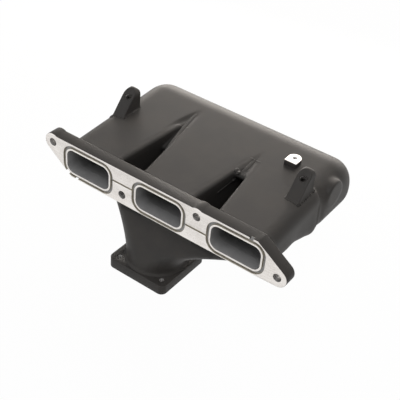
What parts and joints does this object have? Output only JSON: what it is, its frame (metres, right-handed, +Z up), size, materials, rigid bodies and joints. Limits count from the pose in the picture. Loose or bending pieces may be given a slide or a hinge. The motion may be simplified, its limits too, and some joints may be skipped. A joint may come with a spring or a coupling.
{
  "type": "intake manifold",
  "caption": "Intake manifold with tapered runners from a long head flange into a rounded plenum, and an offset duct that drops to a square throttle flange.",
  "frame": {"origin": "centre of the throttle bore on the throttle-body face, at the underside of the throttle flange", "axes": "+Z up the bore and away from the throttle body, +X along the head flange, +Y from the head face towards the plenum"},
  "size_m": [0.3008, 0.1797, 0.1649],
  "materials": {
    "coated_body": "satin black powder coat over aluminium, slightly pebbled",
    "machined_flange": "fine-milled bare face on a black-coated plate, dull grey seal grooves",
    "bare_boss": "milled bare top on a black-coated boss",
    "thread_metal": "bare bright thread"
  },
  "bodies": {
    "root": {"head_flange": "machined_flange", "runner_1": "coated_body", "runner_2": "coated_body", "runner_3": "coated_body", "runner_welds": "coated_body", "runner_web_left": "coated_body", "runner_web_right": "coated_body", "runner_plate": "coated_body", "plenum_upper_shell": "coated_body", "plenum_lower_shell": "coated_body", "plenum_end_left": "coated_body", "plenum_end_right": "coated_body", "inlet_duct_front": "coated_body", "inlet_duct_rear": "coated_body", "duct_roof": "coated_body", "throttle_flange": "coated_body", "throttle_flange_weld": "coated_body", "lug_left": "coated_body", "lug_right": "coated_body", "bracket_boss": "bare_boss", "throttle_thread_inserts": "thread_metal", "lug_inserts": "thread_metal", "boss_insert": "thread_metal"}
  },
  "joints": []
}
